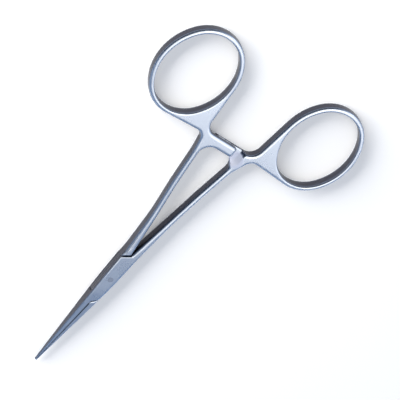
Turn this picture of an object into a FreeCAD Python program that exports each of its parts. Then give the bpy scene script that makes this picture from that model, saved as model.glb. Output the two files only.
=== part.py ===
import FreeCAD, Part
import math
import os
import Sketcher

# Straight mosquito forceps with a box lock, lying on its side and closed.
# Origin: on the lock pin's axis, in the plane that the forceps lies on.
# +X points to the jaw tips, +Y to the ring of the half with the box, +Z up. Millimetres.

SIZES = {
    # Lengths along the instrument, from the pin
    "jaw_long": 30.9,
    "crotch_front": 8.0,
    "crotch_rear": 8.3,
    "crotch_rear_y": 0.1,
    "ring_back": 58.4,
    "ring_side": 19.6,
    # Finger rings
    "hole_long": 22.6,
    "hole_wide": 19.0,
    "hole_end_round": 8.5,
    "band_wide": 1.3,
    # Thickness, across the plane of opening
    "lock_thick": 3.2,
    "shank_thick": 2.8,
    "tip_thick": 0.75,
    "taper_start_x": 5.0,
    "taper_end_x": 24.0,
    # Box lock, in plan
    "lock_rear_half": 2.3,
    "lock_mid_half": 1.98,
    "cheek_rear_x": 6.9,
    "cheek_front_x": 6.8,
    "slot_front_x": 5.7,
    "slot_rear_x": 5.7,
    "neck_thick": 1.1,
    "slot_clearance": 0.04,
    "shoulder_gap": 0.06,
    "front_gap": 0.1,
    "swing_gap": 0.3,
    "shoulder_bevel": 0.35,
    "cheek_bevel": 0.18,
    # Lock pin
    "pin_dia": 1.2,
    "pin_head_dia": 1.5,
    "pin_head_deep": 0.25,
    "pin_clearance": 0.03,
    # Jaws, in plan: half widths
    "jaw_mid_x": 16.0,
    "jaw_mid_half": 1.12,
    "jaw_nose_long": 1.8,
    "jaw_nose_half": 0.44,
    "tip_half": 0.33,
    "nose_bend": 4.0,
    "nose_round": 0.31,
    "parting_bevel": 0.18,
    # Serrations of the jaw faces
    "tooth_start": 9.4,
    "tooth_count": 24,
    "tooth_deep": 0.22,
    "tooth_land": 0.07,
    "face_gap": 0.04,
    # Shanks, in plan: half the spread of their centre lines at each station
    "shank_wide": 1.5,
    "shank_bend": 60.0,
    "shank_end_bend": 8.0,
    "outline_bend": 40.0,
    "taper_bend": 160.0,
    "nose_taper_bend": 60.0,
    "root_x": 10.0,
    "near_x": 21.0,
    "near_spread": 2.45,
    "mid_x": 31.0,
    "mid_spread": 3.9,
    "far_x": 41.0,
    "far_spread": 5.3,
    "shank_lean": 0.5,
    "near_lean": 0.15,
    # Junction of ring, shank and ratchet arm
    "flare_x": 46.5,
    "flare_y": 7.8,
    "flare_round": 2.4,
    "heel_y": 7.6,
    "heel_round": 3.0,
    # Ratchet
    "arm_rear_x": 47.4,
    "arm_wide": 2.8,
    "arm_root_y": 4.9,
    "arm_root_round": 3.0,
    "box_arm_reach": 4.3,
    "inner_arm_reach": 2.5,
    "arm_corner_round": 0.7,
    "box_step_gap": 1.8,
    "inner_step_gap": 1.0,
    "arm_step_side": 0.7,
    "arm_step_round": 0.8,
    "arm_step_slope": 32.0,
    "arm_gap": 0.1,
    "ratchet_count": 4,
    "ratchet_pitch": 1.1,
    "ratchet_deep": 0.4,
    # Crowned faces: how far the bevel reaches over the face, and down the side
    "shank_crown_wide": 0.55,
    "shank_crown_deep": 0.18,
    "jaw_crown_wide": 0.26,
    "jaw_crown_deep": 0.13,
}


class Size:
    """A length that knows its value and its formula in the sheet's names."""

    def __init__(self, value, text):
        self.value = value
        self.text = text

    def __add__(self, other):
        other = as_size(other)
        return Size(self.value + other.value, f"({self.text} + {other.text})")

    def __sub__(self, other):
        other = as_size(other)
        return Size(self.value - other.value, f"({self.text} - {other.text})")

    def __mul__(self, other):
        other = as_size(other)
        return Size(self.value * other.value, f"({self.text} * {other.text})")

    def __truediv__(self, other):
        other = as_size(other)
        return Size(self.value / other.value, f"({self.text} / {other.text})")

    def __neg__(self):
        return Size(-self.value, f"(0 - {self.text})")


def as_size(number):
    if isinstance(number, Size):
        return number
    return Size(float(number), repr(float(number)))


doc = FreeCAD.newDocument("mosquito_forceps")
sheet = doc.addObject("Spreadsheet::Sheet", "Sizes")
for row, (alias, number) in enumerate(SIZES.items(), start=1):
    sheet.set(f"A{row}", alias)
    sheet.set(f"B{row}", str(number))
    sheet.setAlias(f"B{row}", alias)
doc.recompute()


def size(alias):
    return Size(float(SIZES[alias]), f"Sizes.{alias}")


hole_a = size("hole_long") / 2
hole_b = size("hole_wide") / 2
rim_a = hole_a + size("band_wide")
rim_b = hole_b + size("band_wide")
mid_z = size("lock_thick") / 2
tooth_pitch = (size("jaw_long") - size("tooth_start")) / size("tooth_count")
slot_thick = size("neck_thick") + size("slot_clearance") * 2
arm_front_x = size("arm_rear_x") - size("arm_wide")

# How far the cuts run past the metal
run_out = as_size(4)
tip_run_out = as_size(1)


def new_body(label):
    body = doc.addObject("PartDesign::Body", label)
    body.Label = label
    return body


class Drawing:
    """A sketch on one of a body's own origin planes, with its constraints gathered and set at once."""

    ORIGIN = -1
    START = 1
    END = 2
    CENTRE = 3

    def __init__(self, body, name, role, lift=0):
        self.sketch = body.newObject("Sketcher::SketchObject", name)
        plane = [item for item in body.Origin.OriginFeatures if item.Role == role][0]
        self.sketch.AttachmentSupport = [(plane, "")]
        self.sketch.MapMode = "FlatFace"
        self.constraints = []
        self.formulas = {}
        lift = as_size(lift)
        if lift.value:
            self.sketch.AttachmentOffset.Base.z = lift.value
            self.sketch.setExpression("AttachmentOffset.Base.z", lift.text)

    def add(self, curve, construction=False):
        return self.sketch.addGeometry(curve, construction)

    def relate(self, kind, *where):
        self.constraints.append(Sketcher.Constraint(kind, *where))

    def bind(self, kind, *where_and_length):
        """One dimension, tied to the sheet."""
        *where, length = where_and_length
        length = as_size(length)
        self.formulas[len(self.constraints)] = length.text
        self.constraints.append(Sketcher.Constraint(kind, *where, length.value))

    def fix_point(self, geometry, position, x, y):
        self.bind("DistanceX", self.ORIGIN, self.START, geometry, position, x)
        self.bind("DistanceY", self.ORIGIN, self.START, geometry, position, y)

    def finish(self):
        first = self.sketch.ConstraintCount
        self.sketch.addConstraint(self.constraints)
        for index, formula in self.formulas.items():
            self.sketch.setExpression(f"Constraints[{first + index}]", formula)
        return self.sketch


def vector(point):
    return FreeCAD.Vector(as_size(point[0]).value, as_size(point[1]).value, 0)


def toward(start, end):
    return (end - start).normalize()


def draw_chain(drawing, corners, closed=True, first=None, last=None):
    """Straight runs through the corners, each corner sharp or rounded by its own radius.

    A corner is (x, y) or (x, y, radius). An open chain also gets the points it starts
    from and ends at. Returns the first and the last run.
    """
    points = [vector(corner) for corner in corners]
    count = len(points)
    rounds = [as_size(corner[2]) if len(corner) > 2 else None for corner in corners]
    before = [points[i - 1] for i in range(count)]
    after = [points[(i + 1) % count] for i in range(count)]
    if not closed:
        before[0] = first
        after[-1] = last
    leave, arrive, arcs, left_turns = [], [], [], []
    for i in range(count):
        back = toward(points[i], before[i])
        ahead = toward(points[i], after[i])
        left_turns.append(ahead.cross(back).z > 0)
        if rounds[i] is None:
            arrive.append(points[i])
            leave.append(points[i])
            arcs.append(None)
            continue
        half_angle = back.getAngle(ahead) / 2
        trim = rounds[i].value / math.tan(half_angle)
        bisector = (back + ahead).normalize()
        centre = points[i] + bisector * (rounds[i].value / math.sin(half_angle))
        arrive.append(points[i] + back * trim)
        leave.append(points[i] + ahead * trim)
        low, high = (arrive[i], leave[i]) if left_turns[i] else (leave[i], arrive[i])
        circle = Part.Circle(centre, FreeCAD.Vector(0, 0, 1), rounds[i].value)
        start = math.atan2(low.y - centre.y, low.x - centre.x)
        sweep = math.pi - 2 * half_angle
        arcs.append(Part.ArcOfCircle(circle, start, start + sweep))
    lines = []
    run_count = count if closed else count - 1
    lead_in = None
    if not closed:
        lead_in = drawing.add(Part.LineSegment(first, arrive[0]))
    for i in range(run_count):
        run = Part.LineSegment(leave[i], arrive[(i + 1) % count])
        lines.append(drawing.add(run))
    lead_out = None
    if not closed:
        lead_out = drawing.add(Part.LineSegment(leave[-1], last))
    for i in range(count):
        line_in = lines[i - 1] if (closed or i > 0) else lead_in
        line_out = lines[i] if (closed or i < count - 1) else lead_out
        x, y = corners[i][0], corners[i][1]
        if arcs[i] is None:
            drawing.relate("Coincident", line_in, drawing.END, line_out, drawing.START)
            drawing.fix_point(line_out, drawing.START, x, y)
            continue
        arc = drawing.add(arcs[i])
        corner_point = drawing.add(Part.Point(points[i]), True)
        start, end = drawing.START, drawing.END
        arc_in, arc_out = (start, end) if left_turns[i] else (end, start)
        drawing.relate("Tangent", line_in, end, arc, arc_in)
        drawing.relate("Tangent", arc, arc_out, line_out, start)
        drawing.relate("PointOnObject", corner_point, start, line_in)
        drawing.relate("PointOnObject", corner_point, start, line_out)
        drawing.bind("Radius", arc, rounds[i])
        drawing.fix_point(corner_point, start, x, y)
    if closed:
        return lines[0], lines[-1]
    return lead_in, lead_out


class Oval:
    """Four tangent arcs around a centre: two ends of one radius and two flatter sides."""

    def __init__(self, x, y, half_long, half_wide, end_round):
        reach = half_long - end_round
        excess = half_long - half_wide
        drop = excess * (reach * 2 - excess) / ((reach - excess) * 2)
        side_round = half_wide + drop
        turn = math.atan2(drop.value, reach.value)
        self.arcs = [
            (x + reach, y, end_round, -turn, turn),
            (x, y - drop, side_round, turn, math.pi - turn),
            (x - reach, y, end_round, math.pi - turn, math.pi + turn),
            (x, y + drop, side_round, math.pi + turn, 2 * math.pi - turn),
        ]

    def touch(self, corner, side):
        """Which arc a line from an outside corner touches, and the direction of its centre line there."""
        for number, (x, y, radius, low, high) in enumerate(self.arcs):
            away = corner - vector((x, y))
            if away.Length < radius.value:
                continue
            angle = math.atan2(away.y, away.x) + side * math.acos(radius.value / away.Length)
            if (angle - low) % (2 * math.pi) < high - low:
                return number, low + (angle - low) % (2 * math.pi)
        raise RuntimeError("no line from that corner touches the ring")

    def point(self, number, angle):
        x, y, radius, _, _ = self.arcs[number]
        return vector((x, y)) + FreeCAD.Vector(math.cos(angle), math.sin(angle), 0) * radius.value

    def draw(self, drawing, start=None, end=None):
        """Draw it whole, or counter-clockwise between two touching points. Returns the arcs' indices."""
        spans = [(number, low, high) for number, (_, _, _, low, high) in enumerate(self.arcs)]
        if start is not None:
            order = [(start[0] + step) % 4 for step in range(5)]
            order = order[:order.index(end[0], 1) + 1]
            spans = [(number, *self.arcs[number][3:]) for number in order]
            spans[0] = (start[0], start[1], spans[0][2])
            spans[-1] = (end[0], spans[-1][1], end[1])
        indices = []
        for number, low, high in spans:
            x, y, radius, _, _ = self.arcs[number]
            circle = Part.Circle(vector((x, y)), FreeCAD.Vector(0, 0, 1), radius.value)
            index = drawing.add(Part.ArcOfCircle(circle, low, high))
            drawing.bind("Radius", index, radius)
            if number % 2 == 0:
                drawing.fix_point(index, drawing.CENTRE, x, y)
            if indices:
                drawing.relate("Tangent", indices[-1], drawing.END, index, drawing.START)
            indices.append(index)
        if start is None:
            drawing.relate("Tangent", indices[-1], drawing.END, indices[0], drawing.START)
        return indices


def draw_half_outline(body, name, corners, side):
    """A half in plan: the corners' chain, closed by its finger ring. Side is +1 or -1 in Y."""
    drawing = Drawing(body, name, "XY_Plane")
    ring_x, ring_y = -size("ring_back"), size("ring_side") * side
    end_round = size("hole_end_round")
    hole = Oval(ring_x, ring_y, hole_a, hole_b, end_round)
    rim = Oval(ring_x, ring_y, rim_a, rim_b, end_round + size("band_wide"))
    heel = rim.touch(vector(corners[0]), -side)
    flare = rim.touch(vector(corners[-1]), side)
    lead_in, lead_out = draw_chain(drawing, corners, False, rim.point(*heel), rim.point(*flare))
    start, end = (flare, heel) if side > 0 else (heel, flare)
    arcs = rim.draw(drawing, start, end)
    if side < 0:
        arcs.reverse()
    flare_end, heel_end = (drawing.START, drawing.END) if side > 0 else (drawing.END, drawing.START)
    drawing.relate("Tangent", lead_out, drawing.END, arcs[0], flare_end)
    drawing.relate("Tangent", lead_in, drawing.START, arcs[-1], heel_end)
    hole.draw(drawing)
    return drawing.finish()


def pad(body, name, sketch, length):
    feature = body.newObject("PartDesign::Pad", name)
    feature.Profile = sketch
    feature.Length = length.value
    feature.setExpression("Length", length.text)
    return feature


def cut_both_ways(body, name, sketch, length=None):
    """A pocket that runs to both sides of its sketch, right through or over a set length."""
    feature = body.newObject("PartDesign::Pocket", name)
    feature.Profile = sketch
    feature.Midplane = True
    if length is None:
        feature.Type = "ThroughAll"
    else:
        feature.Type = "Length"
        feature.Length = length.value
        feature.setExpression("Length", length.text)
    return feature


def repeat(body, name, feature, direction_role, step, count):
    pattern = body.newObject("PartDesign::LinearPattern", name)
    axis = [item for item in body.Origin.OriginFeatures if item.Role == direction_role][0]
    pattern.Originals = [feature]
    pattern.Direction = (axis, [""])
    span = step * (count - 1)
    pattern.Length = span.value
    pattern.setExpression("Length", span.text)
    pattern.Occurrences = int(round(count.value))
    pattern.setExpression("Occurrences", count.text)
    body.Tip = pattern
    return pattern


def taper_thickness(body):
    """Side profile: flat over the lock, sloping to the tips and easing down to the shanks."""
    drawing = Drawing(body, "side_profile", "XZ_Plane")
    reach = size("ring_back") + rim_a + run_out
    ahead = size("jaw_long") + run_out
    for way in (1, -1):
        surface = mid_z * way
        nose = (size("tip_thick") / 2 - taper_slope * run_out) * way
        grip = size("shank_thick") / 2 * way
        clear = (mid_z + run_out) * way
        draw_chain(drawing, [
            (ahead, mid_z + clear),
            (ahead, mid_z + nose),
            (size("taper_start_x"), mid_z + surface, size("nose_taper_bend")),
            (-size("root_x"), mid_z + surface, size("taper_bend")),
            (-size("taper_end_x"), mid_z + grip, size("taper_bend")),
            (-reach, mid_z + grip),
            (-reach, mid_z + clear),
        ])
    return cut_both_ways(body, "thickness_taper", drawing.finish())


def rim_edges(shape, inside):
    """Names of the edges between an upright wall and the top or the underside."""
    names = []
    for number, edge in enumerate(shape.Edges, start=1):
        middle = edge.valueAt((edge.FirstParameter + edge.LastParameter) / 2)
        if not inside(middle):
            continue
        faces = shape.ancestorsOfType(edge, Part.Face)
        upright = []
        for face in faces:
            u, v = face.Surface.parameter(middle)
            upright.append(abs(face.normalAt(u, v).z))
        if len(upright) == 2 and min(upright) < 0.2 and max(upright) > 0.9:
            names.append(f"Edge{number}")
    return names


def crown_faces(body, name, inside, wide, deep):
    """Slope the faces down to their outline, as forging and tumbling leave them."""
    doc.recompute()
    base = body.Tip
    bevel = body.newObject("PartDesign::Chamfer", name)
    bevel.Base = (base, rim_edges(base.Shape, inside))
    bevel.ChamferType = "Two distances"
    bevel.Size = deep.value
    bevel.Size2 = wide.value
    bevel.setExpression("Size", deep.text)
    bevel.setExpression("Size2", wide.text)
    doc.recompute()
    return bevel


def shank_corners(side):
    """Outer and inner corners of one shank, from the ring end to the lock."""
    lean = size("shank_lean")
    half = size("shank_wide") / 2
    stations = [
        (size("far_x"), size("far_spread") * side - lean, size("shank_end_bend")),
        (size("mid_x"), size("mid_spread") * side - lean, size("shank_bend")),
        (size("near_x"), size("near_spread") * side - size("near_lean"), size("shank_bend")),
    ]
    outer = [(-x, y + half * side, bend) for x, y, bend in stations]
    inner = [(-x, y - half * side, bend) for x, y, bend in stations]
    return outer, inner


def jaw_corners(side):
    """Outer edge of a jaw, from the lock to its point."""
    return [
        (size("jaw_mid_x"), size("jaw_mid_half") * side, size("outline_bend")),
        (size("jaw_long") - size("jaw_nose_long"), size("jaw_nose_half") * side, size("nose_bend")),
        (size("jaw_long"), size("tip_half") * side, size("nose_round")),
    ]


def arm_corners(side, reach_y):
    """Ratchet arm in plan, from the heel behind it to the corner where it meets the shank."""
    rear, front = -size("arm_rear_x"), -arm_front_x
    return [
        (rear, size("heel_y") * side, size("heel_round")),
        (rear, reach_y, size("arm_corner_round")),
        (front, reach_y, size("arm_corner_round")),
        (front, size("arm_root_y") * side - size("shank_lean"), size("arm_root_round")),
    ]


def cut_arm(body, side, reach_y, step_y, way):
    """Halve the arm's thickness and cut its ratchet teeth. Way is +1 for an arm that lies below.

    The step's walls slope, so that the arm runs up into its shank without a sharp corner.
    """
    crest = mid_z - size("arm_gap") / 2 * way
    past_end = reach_y - run_out * side
    behind = -size("arm_rear_x") - run_out
    ahead = -arm_front_x + size("arm_step_side")
    outline = Drawing(body, "arm_step_outline", "XY_Plane", crest)
    draw_chain(outline, [
        (behind, past_end),
        (ahead, past_end),
        (ahead, step_y, size("arm_step_round")),
        (behind, step_y),
    ])
    step = body.newObject("PartDesign::Pocket", "arm_step")
    step.Profile = outline.finish()
    step.Reversed = way > 0
    step.Length = mid_z.value
    step.setExpression("Length", mid_z.text)
    step.TaperAngle = size("arm_step_slope").value
    step.setExpression("TaperAngle", size("arm_step_slope").text)
    root = crest - size("ratchet_deep") * way
    span = size("ratchet_pitch") * size("ratchet_count")
    middle = (size("inner_arm_reach") - size("box_arm_reach")) / 2
    start = middle - span / 2 * side
    middle_x = -size("arm_rear_x") + size("arm_wide") / 2
    drawing = Drawing(body, "ratchet_tooth", "YZ_Plane", middle_x)
    draw_chain(drawing, [
        (start, crest),
        (start, root),
        (start + size("ratchet_pitch") * side, crest),
    ])
    groove = cut_both_ways(body, "ratchet_groove", drawing.finish(), size("arm_wide") + 1)
    return repeat(body, "ratchet", groove, "Y_Axis", size("ratchet_pitch"), size("ratchet_count"))


def cut_serrations(body, side, first_valley, count):
    """V grooves across a jaw's face, evenly spaced to the tip. Side is where the jaw lies in Y."""
    crest_y = crest_level(side)
    half_groove = (tooth_pitch - size("tooth_land")) / 2
    drawing = Drawing(body, "serration_groove", "XY_Plane")
    draw_chain(drawing, [
        (first_valley - half_groove, crest_y),
        (first_valley, crest_y + size("tooth_deep") * side),
        (first_valley + half_groove, crest_y),
    ])
    groove = cut_both_ways(body, "serration", drawing.finish())
    return repeat(body, "serrations", groove, "X_Axis", tooth_pitch, count)


def crest_level(side):
    """Where the tooth crests of a jaw lie: just past the middle, so that the two rows mesh."""
    return (size("face_gap") / 2 - size("tooth_deep") / 2) * side


def bevel_parting_line(body, side):
    """Bevels along both edges of a jaw's face, so that the closed jaws meet in a shallow V."""
    crest_y = crest_level(side)
    bevel = size("parting_bevel")
    for name, way in (("top", 1), ("underside", -1)):
        sections = []
        for end, x in (("rear", size("crotch_front")), ("front", size("jaw_long") + tip_run_out)):
            height = mid_z - taper_slope * (x - size("taper_start_x"))
            section = Drawing(body, f"parting_{name}_{end}", "YZ_Plane", x)
            draw_chain(section, [
                (crest_y - bevel * side, mid_z + (height + bevel) * way),
                (crest_y - bevel * side, mid_z + (height - bevel) * way),
                (crest_y, mid_z + (height - bevel) * way),
                (crest_y + bevel * 2 * side, mid_z + (height + bevel) * way),
            ])
            sections.append(section.finish())
        groove = body.newObject("PartDesign::SubtractiveLoft", f"parting_{name}")
        groove.Profile = sections[0]
        groove.Sections = sections[1:]
        groove.Ruled = True


def face_corners(side, crotch_x):
    """Inner face of a jaw, from its point back to the crotch of the lock."""
    crest_y = crest_level(side)
    return [
        (size("jaw_long"), crest_y),
        (size("tooth_start"), crest_y),
        (size("tooth_start"), size("face_gap") / 2 * side),
        (crotch_x, size("face_gap") / 2 * side),
    ]


def lock_half_at_rear(x):
    """Half the lock's width at a distance behind the pin."""
    return size("lock_mid_half") + (size("lock_rear_half") - size("lock_mid_half")) * (x / size("root_x"))


def lock_half_at_front(x):
    """Half the lock's width at a distance ahead of the pin."""
    return size("lock_mid_half") - (size("lock_mid_half") - size("jaw_mid_half")) * (x / size("jaw_mid_x"))


cheek_rear_half = lock_half_at_rear(size("cheek_rear_x"))
cheek_front_half = lock_half_at_front(size("cheek_front_x"))
shoulder_gap = size("shoulder_gap")
swing_gap = size("swing_gap")
crotch = size("crotch_rear").value
cheek_end = -size("cheek_rear_x").value
middle = mid_z.value
taper_slope = (mid_z - size("tip_thick") / 2) / (size("jaw_long") - size("taper_start_x"))


# Places that tell the edges of the shanks, the lock and the jaws apart
past_parting = 0.2
beside_lock = 1.0
outside_lock = 2.0
across_half = 1.3
shank_face = 1.0
lock_face = 1.4


def across_lock(point):
    """Whether an edge crosses the lock's outer faces, where a cheek ends against a shoulder."""
    return abs(point.x) < crotch and abs(point.y) < across_half and abs(point.z - middle) > lock_face


def on_box_shank(point):
    """Whether an edge is on the box half's shank or ring, or on the lock's edge beside the shank."""
    return point.x < -crotch or point.y > beside_lock


def on_inner_shank(point):
    """Whether an edge is on the outer faces of the inner half's shank or ring."""
    beside_shoulder = point.x < cheek_end and point.y < -outside_lock
    return (point.x < -crotch or beside_shoulder) and abs(point.z - middle) > shank_face


def draw_pin_profile(body):
    """Half section of the riveted pin: a straight shank between two countersunk heads."""
    drawing = Drawing(body, "pin_section", "XZ_Plane")
    shank, head = size("pin_dia") / 2, size("pin_head_dia") / 2
    draw_chain(drawing, [
        (as_size(0), as_size(0)),
        (head, as_size(0)),
        (shank, size("pin_head_deep")),
        (shank, size("lock_thick") - size("pin_head_deep")),
        (head, size("lock_thick")),
        (as_size(0), size("lock_thick")),
    ])
    return drawing.finish()


def drill_pin_hole(body, diameter):
    drawing = Drawing(body, "pin_hole_circle", "XY_Plane")
    ring = drawing.add(Part.Circle(FreeCAD.Vector(), FreeCAD.Vector(0, 0, 1), diameter.value / 2))
    drawing.relate("Coincident", ring, drawing.CENTRE, drawing.ORIGIN, drawing.START)
    drawing.bind("Diameter", ring, diameter)
    return cut_both_ways(body, "pin_hole", drawing.finish())


def turn_about_pin(body, kind, name):
    feature = body.newObject(kind, name)
    feature.Profile = draw_pin_profile(body)
    axis = [item for item in body.Origin.OriginFeatures if item.Role == "Z_Axis"][0]
    feature.ReferenceAxis = (axis, [""])
    feature.Angle = 360
    return feature


def make_box_half():
    """The half with the box: ring and shank at +Y, jaw at -Y, and a slot through its middle."""
    body = new_body("box_half")
    outer, inner = shank_corners(1)
    corners = arm_corners(1, -size("box_arm_reach")) + inner
    corners += [
        (-size("crotch_rear"), size("crotch_rear_y")),
        (-size("cheek_rear_x"), -cheek_rear_half),
        (as_size(0), -size("lock_mid_half"), size("outline_bend")),
    ]
    corners += jaw_corners(-1) + face_corners(-1, size("crotch_front"))
    corners += [
        (size("cheek_front_x"), cheek_front_half),
        (as_size(0), size("lock_mid_half"), size("outline_bend")),
        (-size("root_x"), size("lock_rear_half"), size("outline_bend")),
    ]
    corners += outer[::-1]
    corners.append((-size("flare_x"), size("flare_y"), size("flare_round")))
    pad(body, "forging", draw_half_outline(body, "outline", corners, 1), size("lock_thick"))
    taper_thickness(body)
    crown_faces(body, "shank_crown", on_box_shank,
                size("shank_crown_wide"), size("shank_crown_deep"))
    crown_faces(body, "cheek_bevel", across_lock, size("cheek_bevel"), size("cheek_bevel"))
    crown_faces(body, "jaw_crown", lambda point: point.x > crotch and point.y < -past_parting,
                size("jaw_crown_wide"), size("jaw_crown_deep"))
    slot = Drawing(body, "slot_outline", "XY_Plane", mid_z)
    draw_chain(slot, [
        (-size("crotch_rear"), size("crotch_rear_y")),
        (-size("slot_rear_x"), lock_half_at_rear(size("slot_rear_x"))),
        (-size("slot_rear_x"), run_out),
        (size("crotch_front"), run_out),
        (size("crotch_front"), size("face_gap") / -2),
        (size("slot_front_x"), -lock_half_at_front(size("slot_front_x"))),
        (size("slot_front_x"), -run_out),
        (-size("crotch_rear"), -run_out),
    ])
    cut_both_ways(body, "slot", slot.finish(), slot_thick)
    bevel_parting_line(body, -1)
    turn_about_pin(body, "PartDesign::Groove", "pin_seat")
    step_y = size("inner_arm_reach") + size("box_step_gap")
    cut_arm(body, 1, -size("box_arm_reach"), step_y, 1)
    cut_serrations(body, -1, size("tooth_start") + tooth_pitch / 2, size("tooth_count"))
    return body


def make_inner_half():
    """The half with the neck: ring and shank at -Y, jaw at +Y, thinned where it crosses the box."""
    body = new_body("inner_half")
    outer, inner = shank_corners(-1)
    rear_x = size("cheek_rear_x") + swing_gap
    front_x = size("cheek_front_x") + size("front_gap")
    corners = arm_corners(-1, size("inner_arm_reach")) + inner
    corners += [
        (-size("crotch_rear") + shoulder_gap, size("crotch_rear_y") - shoulder_gap),
        (-size("slot_rear_x") + swing_gap, lock_half_at_rear(size("slot_rear_x") - swing_gap)),
        (as_size(0), size("lock_mid_half"), size("outline_bend")),
    ]
    corners += jaw_corners(1) + face_corners(1, size("crotch_front") - shoulder_gap / 2)
    corners += [
        (size("slot_front_x") - swing_gap, -lock_half_at_front(size("slot_front_x") - swing_gap)),
        (as_size(0), -size("lock_mid_half"), size("outline_bend")),
        (-size("root_x"), -size("lock_rear_half"), size("outline_bend")),
    ]
    corners += outer[::-1]
    corners.append((-size("flare_x"), -size("flare_y"), size("flare_round")))
    pad(body, "forging", draw_half_outline(body, "outline", corners, -1), size("lock_thick"))
    taper_thickness(body)
    run_on = 0.5
    rear_run = size("crotch_rear") - size("cheek_rear_x")
    rear_drop = cheek_rear_half + size("crotch_rear_y")
    front_run = size("crotch_front") - size("cheek_front_x")
    front_drop = cheek_front_half + size("face_gap") / 2
    # The shoulder lines run on past the outline by half their length.
    for name, way in (("neck_top", 1), ("neck_underside", -1)):
        cheek = mid_z - size("neck_thick") / 2 + 1
        lift = mid_z + (size("neck_thick") / 2 + cheek / 2) * way
        drawing = Drawing(body, name + "_outline", "XY_Plane", lift)
        draw_chain(drawing, [
            (-rear_x + rear_run * run_on, -cheek_rear_half - rear_drop * run_on),
            (-size("crotch_rear") - swing_gap, size("crotch_rear_y")),
            (-size("crotch_rear") - swing_gap, run_out),
            (front_x - front_run, run_out),
            (front_x - front_run * run_on, cheek_front_half + front_drop * run_on),
            (size("crotch_front") + size("front_gap"), size("face_gap") / -2),
            (size("crotch_front") + size("front_gap"), -run_out),
            (-rear_x + rear_run * run_on, -run_out),
        ])
        cut_both_ways(body, name, drawing.finish(), cheek)
    doc.recompute()
    crown_faces(body, "shank_crown", on_inner_shank,
                size("shank_crown_wide"), size("shank_crown_deep"))
    crown_faces(body, "jaw_crown", lambda point: point.x > crotch and point.y > past_parting,
                size("jaw_crown_wide"), size("jaw_crown_deep"))
    crown_faces(body, "shoulder_bevel", across_lock, size("shoulder_bevel"), size("shoulder_bevel"))
    bevel_parting_line(body, 1)
    drill_pin_hole(body, size("pin_dia") + size("pin_clearance") * 2)
    step_y = -size("box_arm_reach") - size("inner_step_gap")
    cut_arm(body, -1, size("inner_arm_reach"), step_y, -1)
    cut_serrations(body, 1, size("tooth_start"), size("tooth_count") + 1)
    return body


def make_lock_pin():
    """The rivet of the lock, headed over in the cheeks' countersinks and ground flush."""
    body = new_body("lock_pin")
    turn_about_pin(body, "PartDesign::Revolution", "rivet")
    return body


bodies = [make_box_half(), make_inner_half(), make_lock_pin()]
doc.recompute()

for item in doc.Objects:
    if "Invalid" in item.State or "Error" in item.State:
        raise RuntimeError(f"{item.Name} failed: {item.State}")
for body in bodies:
    if body.Shape.isNull() or not body.Shape.isValid():
        raise RuntimeError(f"{body.Label} has no valid shape")

os.makedirs("parts", exist_ok=True)
for body in bodies:
    body.Shape.exportStep(f"parts/{body.Label}.step")
    print(body.Label, "volume", round(body.Shape.Volume, 2), "solids", len(body.Shape.Solids))
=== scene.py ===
import math

import bpy
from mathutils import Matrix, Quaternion, Vector


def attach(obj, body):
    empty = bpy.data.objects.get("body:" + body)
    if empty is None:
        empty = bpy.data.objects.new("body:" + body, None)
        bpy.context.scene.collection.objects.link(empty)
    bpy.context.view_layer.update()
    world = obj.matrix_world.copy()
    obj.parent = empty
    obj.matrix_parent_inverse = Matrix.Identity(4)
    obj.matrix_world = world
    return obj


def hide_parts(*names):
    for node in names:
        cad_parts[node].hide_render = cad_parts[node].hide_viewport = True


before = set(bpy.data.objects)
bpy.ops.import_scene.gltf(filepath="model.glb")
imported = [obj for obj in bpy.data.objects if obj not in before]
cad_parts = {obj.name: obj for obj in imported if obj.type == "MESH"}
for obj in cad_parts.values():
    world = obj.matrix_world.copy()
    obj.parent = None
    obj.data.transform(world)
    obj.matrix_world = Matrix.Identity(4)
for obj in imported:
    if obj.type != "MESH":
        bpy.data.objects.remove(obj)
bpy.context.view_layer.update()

MM = 0.001

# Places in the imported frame, from the pin's axis and the underside.
MIDDLE_Z = 1.6 * MM
SHANK_START = -9.0 * MM
JAW_START = 8.6 * MM
TIP_X = 30.9 * MM
PIN_FACE = Vector((0.0, 0.0, 3.2)) * MM

# A rim is an outer one where it lies further than this from the middle plane.
SHANK_FACE = 1.0 * MM
LOCK_FACE = 1.2 * MM
TIP_FACE = 0.375 * MM
JAW_RIM_SHARE = 0.6

# Edges nearer than these to the parting line, the tip and the pin's axis stay sharp.
PARTING = 0.3 * MM
NOSE = 0.8 * MM
PIN_CLEAR = 1.5 * MM

# A face's tilt is told by the upright part of its normal.
UPRIGHT_BELOW = 0.3
LEVEL_ABOVE = 0.8
FLAT_ABOVE = 0.97

# Edge rounding that is left by forging and tumbling.
SHANK_ROUND = 0.40 * MM
FRONT_ROUND = 0.18 * MM
ROUND_STEPS = 3

# How the meshes are merged, cleaned and shaded.
MERGE = 0.0005 * MM
CLEAN = 0.002 * MM
SAME_FACE = math.radians(0.5)
SMOOTH_BELOW = math.radians(31)
LARGE_FACE_WEIGHT = 100

# The steel's colours: its faces and its milled recess, and painted shade for its rounded rims and upright
# sides, which stands in for the dark surroundings that they mirror.
FACE = "#d6dde6"
SHADED_RIM = "#727b8b"
SHADED_SIDE = "#494a54"
MILLED = "#d5d9e6"

# Real bead marks are too fine to show, so the grain is drawn as coarse as it needs to show. The
# clouds are the slow changes in gloss that a hand-held nozzle leaves.
GRAIN = 0.45 * MM
GRAIN_TONE = 0.06
GRAIN_BUMP = 0.05
GRAIN_DEPTH = 0.02 * MM
CLOUD = 5 * MM
CLOUD_ROUGHNESS = 0.05

# How far in from its rims a face is crowned, to the eye. The lock is crowned less than the shanks,
# and the pin is flat.
CROWN = 0.7 * MM
LOCK_CROWN = CROWN * 0.4
CROWN_START = -12.0 * MM
PIN_FLAT = PIN_CLEAR * 0.7
CROWN_SAMPLES = 8
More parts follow.
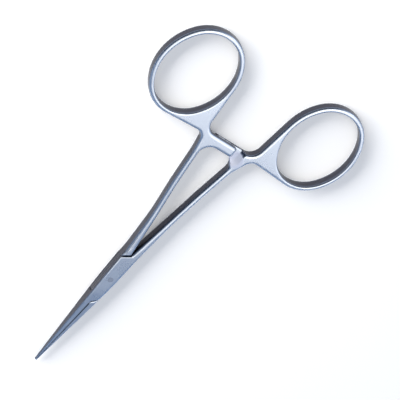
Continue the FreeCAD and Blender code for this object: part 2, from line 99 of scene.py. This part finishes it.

# Painted shadow along the line where the closed jaws meet, standing in for the shade in the gap between
# them, which fades toward the tips.
SEAM_REACH = 0.26 * MM
SEAM_CORE = SEAM_REACH * 0.3
SEAM_END = 28.0 * MM
SEAM_SHADOW = "#2b3138"

# The recess that the upper ratchet arm lies in, milled and left duller than the faces.
RECESS = Vector((-44.6, 4.2, 2.2)) * MM
RECESS_REACH = 2.4 * MM
RECESS_CORE = RECESS_REACH * 0.75
RECESS_ROUGHNESS = 0.6
RECESS_SOFTNESS = 0.75

# The camera looks down on the shanks from the ring side and is turned almost upside down.
AIM = Vector((-30.41, 4.75, 1.6)) * MM
DISTANCE = 513.4 * MM
AZIMUTH = -35.77
ELEVATION = 53.91
ROLL = 162.18
LENS = 187.18

# The level direction in which the studio is left dark, on the side of the long shadowed rims.
DARK_SIDE = (-0.58, -0.81, 0.0)
DARK_FROM = 0.15
DARK_TO = 0.55
DARK_SHARE = 0.2
STUDIO_STRENGTH = 1.6


def linear(hex_colour):
    """An sRGB hex colour as the linear values that a shader takes."""
    channels = [int(hex_colour[i:i + 2], 16) / 255 for i in (1, 3, 5)]
    return [c / 12.92 if c <= 0.04045 else ((c + 0.055) / 1.055) ** 2.4 for c in channels] + [1]


def add_node(tree, kind, settings=None, **links):
    """Add a node. Settings are its properties, socket values or ramp stops, and links join sockets.

    A socket that shares its name with others goes by its number, such as i0.
    """
    node = tree.nodes.new("ShaderNode" + kind)

    def socket(name):
        return node.inputs[int(name[1:]) if name[0] == "i" and name[1:].isdigit() else name]

    for name, value in (settings or {}).items():
        if name == "stops":
            elements = node.color_ramp.elements
            while len(elements) < len(value):
                elements.new(1.0)
            for element, (position, colour) in zip(elements, value):
                element.position = position
                element.color = linear(colour)
        elif hasattr(node, name):
            setattr(node, name, value)
        else:
            socket(name).default_value = value
    for name, source in links.items():
        tree.links.new(source, socket(name))
    return node


def new_material(name):
    material = bpy.data.materials.new(name)
    material.use_nodes = True
    material.node_tree.nodes.clear()
    return material, material.node_tree


def seam_shadow_mask(tree, along, across):
    """Painted shadow where the closed jaws meet: 1 on the parting line at the lock, and 0 away from it."""
    off_line = add_node(tree, "Math", {"operation": "ABSOLUTE"}, i0=across)
    on_line = add_node(tree, "MapRange", {"From Min": SEAM_REACH, "From Max": SEAM_CORE},
                       Value=off_line.outputs[0])
    past_lock = add_node(tree, "MapRange", {"From Min": JAW_START, "From Max": JAW_START + SEAM_REACH},
                         Value=along)
    before_tip = add_node(tree, "MapRange", {"From Min": SEAM_END, "From Max": JAW_START}, Value=along)
    on_jaws = add_node(tree, "Math", {"operation": "MULTIPLY"}, i0=past_lock.outputs[0],
                       i1=before_tip.outputs[0])
    return add_node(tree, "Math", {"operation": "MULTIPLY"}, i0=on_line.outputs[0],
                    i1=on_jaws.outputs[0]).outputs[0]


def crowned_normal(tree, place, along):
    """The normal of faces that round off toward their rims, apart from the jaws and the pin."""
    plain = add_node(tree, "NewGeometry").outputs["Normal"]
    reach = add_node(tree, "MapRange", {"From Min": SHANK_START, "From Max": CROWN_START,
                                        "To Min": LOCK_CROWN, "To Max": CROWN}, Value=along)
    crowned = add_node(tree, "Bevel", {"samples": CROWN_SAMPLES}, Radius=reach.outputs[0])
    off_jaws = add_node(tree, "MapRange", {"From Min": JAW_START + CROWN, "From Max": JAW_START},
                        Value=along)
    from_pin = add_node(tree, "VectorMath", {"operation": "DISTANCE", "i1": PIN_FACE}, i0=place)
    off_pin = add_node(tree, "MapRange", {"From Min": PIN_FLAT, "From Max": PIN_CLEAR},
                       Value=from_pin.outputs["Value"])
    share = add_node(tree, "Math", {"operation": "MULTIPLY"}, i0=off_jaws.outputs[0],
                     i1=off_pin.outputs[0])
    return add_node(tree, "Mix", {"data_type": "VECTOR"}, i0=share.outputs[0], i4=plain,
                    i5=crowned.outputs["Normal"]).outputs[1]


def satin_steel(name, face, rim_shade, side_shade, roughness, milled=None):
    """Stainless steel, ground and then satin finished by glass beads.

    The beads leave a fine even grain, so the faces glow softly and reflect nothing sharp. The
    rounded rims and upright sides get painted shade by their tilt, and the seam where the jaws
    meet gets a painted shadow.
    """
    material, tree = new_material(name)
    own = add_node(tree, "TexCoord").outputs
    place = own["Object"]
    axes = add_node(tree, "SeparateXYZ", None, Vector=place).outputs
    grain = add_node(tree, "TexNoise", {"Scale": 1 / GRAIN, "Detail": 3.0}, Vector=place)
    cloud = add_node(tree, "TexNoise", {"Scale": 1 / CLOUD, "Detail": 2.0}, Vector=place)

    tilt = add_node(tree, "SeparateXYZ", None, Vector=own["Normal"])
    level = add_node(tree, "Math", {"operation": "ABSOLUTE"}, i0=tilt.outputs["Z"])
    # Painted shade by tilt, from a dark upright side over a dark rounded rim to a level face, which stands
    # in for the dark surroundings that sides and rims mirror.
    stops = [(0.04, side_shade), (0.22, rim_shade), (0.56, rim_shade), (0.74, face)]
    tone_and_shade = add_node(tree, "ValToRGB", {"stops": stops}, Fac=level.outputs[0])
    speck = add_node(tree, "MapRange", {"To Min": 1 - GRAIN_TONE, "To Max": 1 + GRAIN_TONE},
                     Value=grain.outputs["Fac"])
    grained = add_node(tree, "VectorMath", {"operation": "SCALE"}, i0=tone_and_shade.outputs["Color"],
                       Scale=speck.outputs[0])
    # Painted shadow in the seam between the closed jaws.
    seam_shadow = seam_shadow_mask(tree, axes["X"], axes["Y"])
    colour = add_node(tree, "Mix", {"data_type": "RGBA", "i7": linear(SEAM_SHADOW)}, i0=seam_shadow,
                      i6=grained.outputs["Vector"]).outputs[2]
    patchy = {"To Min": roughness - CLOUD_ROUGHNESS, "To Max": roughness + CLOUD_ROUGHNESS}
    rough = add_node(tree, "MapRange", patchy, Value=cloud.outputs["Fac"]).outputs[0]
    normal = crowned_normal(tree, place, axes["X"])

    if milled:
        away = add_node(tree, "VectorMath", {"operation": "DISTANCE", "i1": RECESS}, i0=place)
        inside = add_node(tree, "MapRange", {"From Min": RECESS_REACH, "From Max": RECESS_CORE},
                          Value=away.outputs["Value"]).outputs[0]
        rough = add_node(tree, "MapRange", {"To Max": RECESS_ROUGHNESS}, Value=inside, i3=rough).outputs[0]
        colour = add_node(tree, "Mix", {"data_type": "RGBA", "i7": linear(milled)}, i0=inside,
                          i6=colour).outputs[2]
        soft = add_node(tree, "Math", {"operation": "MULTIPLY", "i1": RECESS_SOFTNESS}, i0=inside)
        normal = add_node(tree, "Mix", {"data_type": "VECTOR", "i5": (0, 0, 1)}, i0=soft.outputs[0],
                          i4=normal).outputs[1]

    bump = add_node(tree, "Bump", {"Strength": GRAIN_BUMP, "Distance": GRAIN_DEPTH},
                    Height=grain.outputs["Fac"], Normal=normal)
    surface = {"Base Color": colour, "Roughness": rough, "Normal": bump.outputs["Normal"]}
    steel = add_node(tree, "BsdfPrincipled", {"Metallic": 1.0}, **surface)
    add_node(tree, "OutputMaterial", None, Surface=steel.outputs["BSDF"])
    return material


def white_card(name, colour, glow):
    """Matt white card, uncoated, so that it shows an even white with no gloss.

    The camera, metal and glass also see it glow a little, which makes it plain white.
    """
    material, tree = new_material(name)
    card = add_node(tree, "BsdfDiffuse", {"Color": linear(colour)})
    lit = add_node(tree, "Emission", {"Color": linear(colour), "Strength": glow})
    unlit = add_node(tree, "Emission", {"Strength": 0.0})
    path = add_node(tree, "LightPath").outputs
    mirrored = add_node(tree, "Math", {"operation": "MAXIMUM"}, i0=path["Is Glossy Ray"],
                        i1=path["Is Transmission Ray"])
    seen = add_node(tree, "Math", {"operation": "MAXIMUM"}, i0=path["Is Camera Ray"],
                    i1=mirrored.outputs[0])
    extra = add_node(tree, "MixShader", None, Fac=seen.outputs[0], i1=unlit.outputs[0], i2=lit.outputs[0])
    both = add_node(tree, "AddShader", None, i0=card.outputs[0], i1=extra.outputs[0])
    add_node(tree, "OutputMaterial", None, Surface=both.outputs[0])
    return material


def on_shank(place):
    """A rim of a shank, a ring or a ratchet arm."""
    return place.x < SHANK_START and abs(place.z - MIDDLE_Z) > SHANK_FACE


def on_lock(place):
    """A rim of the box lock, and not of the hole for its pin."""
    outer = abs(place.z - MIDDLE_Z) > LOCK_FACE and place.xy.length > PIN_CLEAR
    return SHANK_START < place.x < JAW_START and outer


def on_jaw(place):
    """An outer rim of a jaw, whose thickness tapers to the tip."""
    share = (place.x - JAW_START) / (TIP_X - JAW_START)
    face = LOCK_FACE + (TIP_FACE - LOCK_FACE) * share
    outer = abs(place.y) > PARTING and abs(place.z - MIDDLE_Z) > face * JAW_RIM_SHARE
    return JAW_START < place.x < TIP_X - NOSE and outer


def on_front(place):
    """A rim of the box lock or of a jaw, which run into each other."""
    return on_lock(place) or on_jaw(place)


def round_rims(piece, region, radius):
    """Round the edges between a face and an upright side, in one region of a piece."""
    mesh = piece.data
    tilts = {}
    for polygon in mesh.polygons:
        for key in polygon.edge_keys:
            tilts.setdefault(key, []).append(abs(polygon.normal.z))
    for edge in mesh.edges:
        start, end = (mesh.vertices[i].co for i in edge.vertices)
        beside = tilts.get(edge.key, [])
        is_rim = len(beside) == 2 and min(beside) < UPRIGHT_BELOW and max(beside) > LEVEL_ABOVE
        edge.select = is_rim and region((start + end) / 2)
    bpy.ops.object.mode_set(mode="EDIT")
    bpy.ops.mesh.bevel(offset=radius, segments=ROUND_STEPS, affect="EDGES", clamp_overlap=False)
    bpy.ops.mesh.select_all(action="SELECT")
    bpy.ops.mesh.remove_doubles(threshold=CLEAN)
    bpy.ops.mesh.dissolve_degenerate(threshold=CLEAN)
    bpy.ops.mesh.select_all(action="DESELECT")
    bpy.ops.object.mode_set(mode="OBJECT")


def keep_level_flat(piece):
    """Shade each nearly level face flat, so that none borrows the tilt of its neighbour."""
    for polygon in piece.data.polygons:
        if abs(polygon.normal.z) > FLAT_ABOVE:
            polygon.use_smooth = False


def smooth_copy(node, body, material, rounded):
    """A merged, smoothly shaded copy of a CAD piece, which stands for it."""
    bpy.ops.object.select_all(action="DESELECT")
    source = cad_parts[node]
    copy = source.copy()
    copy.data = source.data.copy()
    copy.name = node + "_satin"
    bpy.context.collection.objects.link(copy)
    at_rest = source.matrix_world.copy()
    copy.parent = None
    copy.matrix_world = at_rest
    bpy.context.view_layer.objects.active = copy
    copy.select_set(True)
    bpy.ops.object.mode_set(mode="EDIT")
    bpy.ops.mesh.select_mode(type="EDGE")
    bpy.ops.mesh.select_all(action="SELECT")
    bpy.ops.mesh.remove_doubles(threshold=MERGE)
    bpy.ops.mesh.dissolve_limited(angle_limit=SAME_FACE)
    bpy.ops.mesh.select_all(action="DESELECT")
    bpy.ops.object.mode_set(mode="OBJECT")
    if rounded:
        round_rims(copy, on_shank, SHANK_ROUND)
        round_rims(copy, on_front, FRONT_ROUND)
    bpy.ops.object.shade_smooth_by_angle(angle=SMOOTH_BELOW)
    keep_level_flat(copy)
    flats = copy.modifiers.new("keep_faces_flat", "WEIGHTED_NORMAL")
    flats.keep_sharp = True
    flats.weight = LARGE_FACE_WEIGHT
    bpy.ops.object.modifier_apply(modifier=flats.name)
    copy.data.materials.clear()
    copy.data.materials.append(material)
    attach(copy, body)
    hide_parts(node)


def area_light(name, place, aim, size, power, colour="#ffffff"):
    lamp = bpy.data.lights.new(name, "AREA")
    lamp.shape = "RECTANGLE"
    lamp.size, lamp.size_y = size
    lamp.energy = power
    lamp.color = linear(colour)[:3]
    light = bpy.data.objects.new(name, lamp)
    light.location = place
    light.rotation_mode = "QUATERNION"
    light.rotation_quaternion = (Vector(place) - Vector(aim)).to_track_quat("Z", "Y")
    bpy.context.collection.objects.link(light)
    return light


# The two halves and the pin, a rivet that is ground flush and left a little darker. Each gets painted
# shade on its rounded rims and upright sides.
box_steel = satin_steel("satin_stainless_box_half", FACE, SHADED_RIM, SHADED_SIDE, roughness=0.28, milled=MILLED)
inner_steel = satin_steel("satin_stainless_inner_half", FACE, SHADED_RIM, SHADED_SIDE, roughness=0.28)
pin_steel = satin_steel("satin_stainless_pin", "#aeb5c1", "#8a909b", "#66666e", roughness=0.34)
smooth_copy("box_half", "box_body", box_steel, rounded=True)
smooth_copy("inner_half", "inner_body", inner_steel, rounded=True)
smooth_copy("lock_pin", "box_body", pin_steel, rounded=False)

# The floor, a white card that the forceps lie on.
bpy.ops.object.select_all(action="DESELECT")
bpy.ops.mesh.primitive_plane_add(size=3, location=(0, 0, 0))
floor = bpy.context.object
floor.name = "floor"
floor.data.materials.append(white_card("white_card", "#f9f7f4", glow=0.19))

# Two panels that show only in the metal: one over the rings for its flat faces, and one at the side.
mirror_panel = area_light("mirror_panel", place=(-0.13, 0.19, 0.30), aim=(-0.06, 0.0, 0.0),
                          size=(0.40, 0.40), power=0.58, colour="#fffaf4")
mirror_panel.visible_diffuse = False
side_panel = area_light("side_panel", place=(-0.60, 0.37, 0.26), aim=AIM, size=(0.25, 0.25), power=0.22)
side_panel.visible_diffuse = False

# A wide panel on the camera's side for the soft shadow, which the metal doesn't mirror.
shadow_panel = area_light("shadow_panel", place=(-0.16, -0.75, 0.24), aim=AIM, size=(0.9, 0.5), power=14.6)
shadow_panel.visible_glossy = False

# The studio round it: grey-blue walls, a white ceiling, and one dark side.
world = bpy.data.worlds.new("studio")
bpy.context.scene.world = world
world.use_nodes = True
studio = world.node_tree
ray = add_node(studio, "TexCoord").outputs["Generated"]
height = add_node(studio, "SeparateXYZ", None, Vector=ray).outputs["Z"]
wall_stops = [(0.10, "#748aa8"), (0.50, "#62748f"), (0.82, "#5d6d86"), (0.96, "#ffffff")]
walls = add_node(studio, "ValToRGB", {"stops": wall_stops}, Fac=height)
toward_dark = add_node(studio, "VectorMath", {"operation": "DOT_PRODUCT", "i1": DARK_SIDE}, i0=ray)
shade = add_node(studio, "MapRange", {"From Min": DARK_FROM, "From Max": DARK_TO, "To Min": 1.0,
                                      "To Max": DARK_SHARE}, Value=toward_dark.outputs["Value"])
shaded = add_node(studio, "VectorMath", {"operation": "SCALE"}, i0=walls.outputs["Color"],
                  Scale=shade.outputs[0])
background = studio.nodes["Background"]
studio.links.new(shaded.outputs["Vector"], background.inputs["Color"])
background.inputs["Strength"].default_value = STUDIO_STRENGTH

# The camera.
turn, rise = math.radians(AZIMUTH), math.radians(ELEVATION)
back = Vector((math.sin(turn) * math.cos(rise), -math.cos(turn) * math.cos(rise), math.sin(rise)))
camera_data = bpy.data.cameras.new("camera")
camera_data.lens = LENS
camera_data.sensor_width = 36
camera_data.clip_start, camera_data.clip_end = 0.01, 20
camera = bpy.data.objects.new("camera", camera_data)
bpy.context.collection.objects.link(camera)
camera.location = AIM + back * DISTANCE
camera.rotation_mode = "QUATERNION"
camera.rotation_quaternion = (-back).to_track_quat("-Z", "Y") @ Quaternion((0, 0, 1), math.radians(ROLL))
bpy.context.scene.camera = camera
bpy.context.scene.view_settings.view_transform = "Standard"
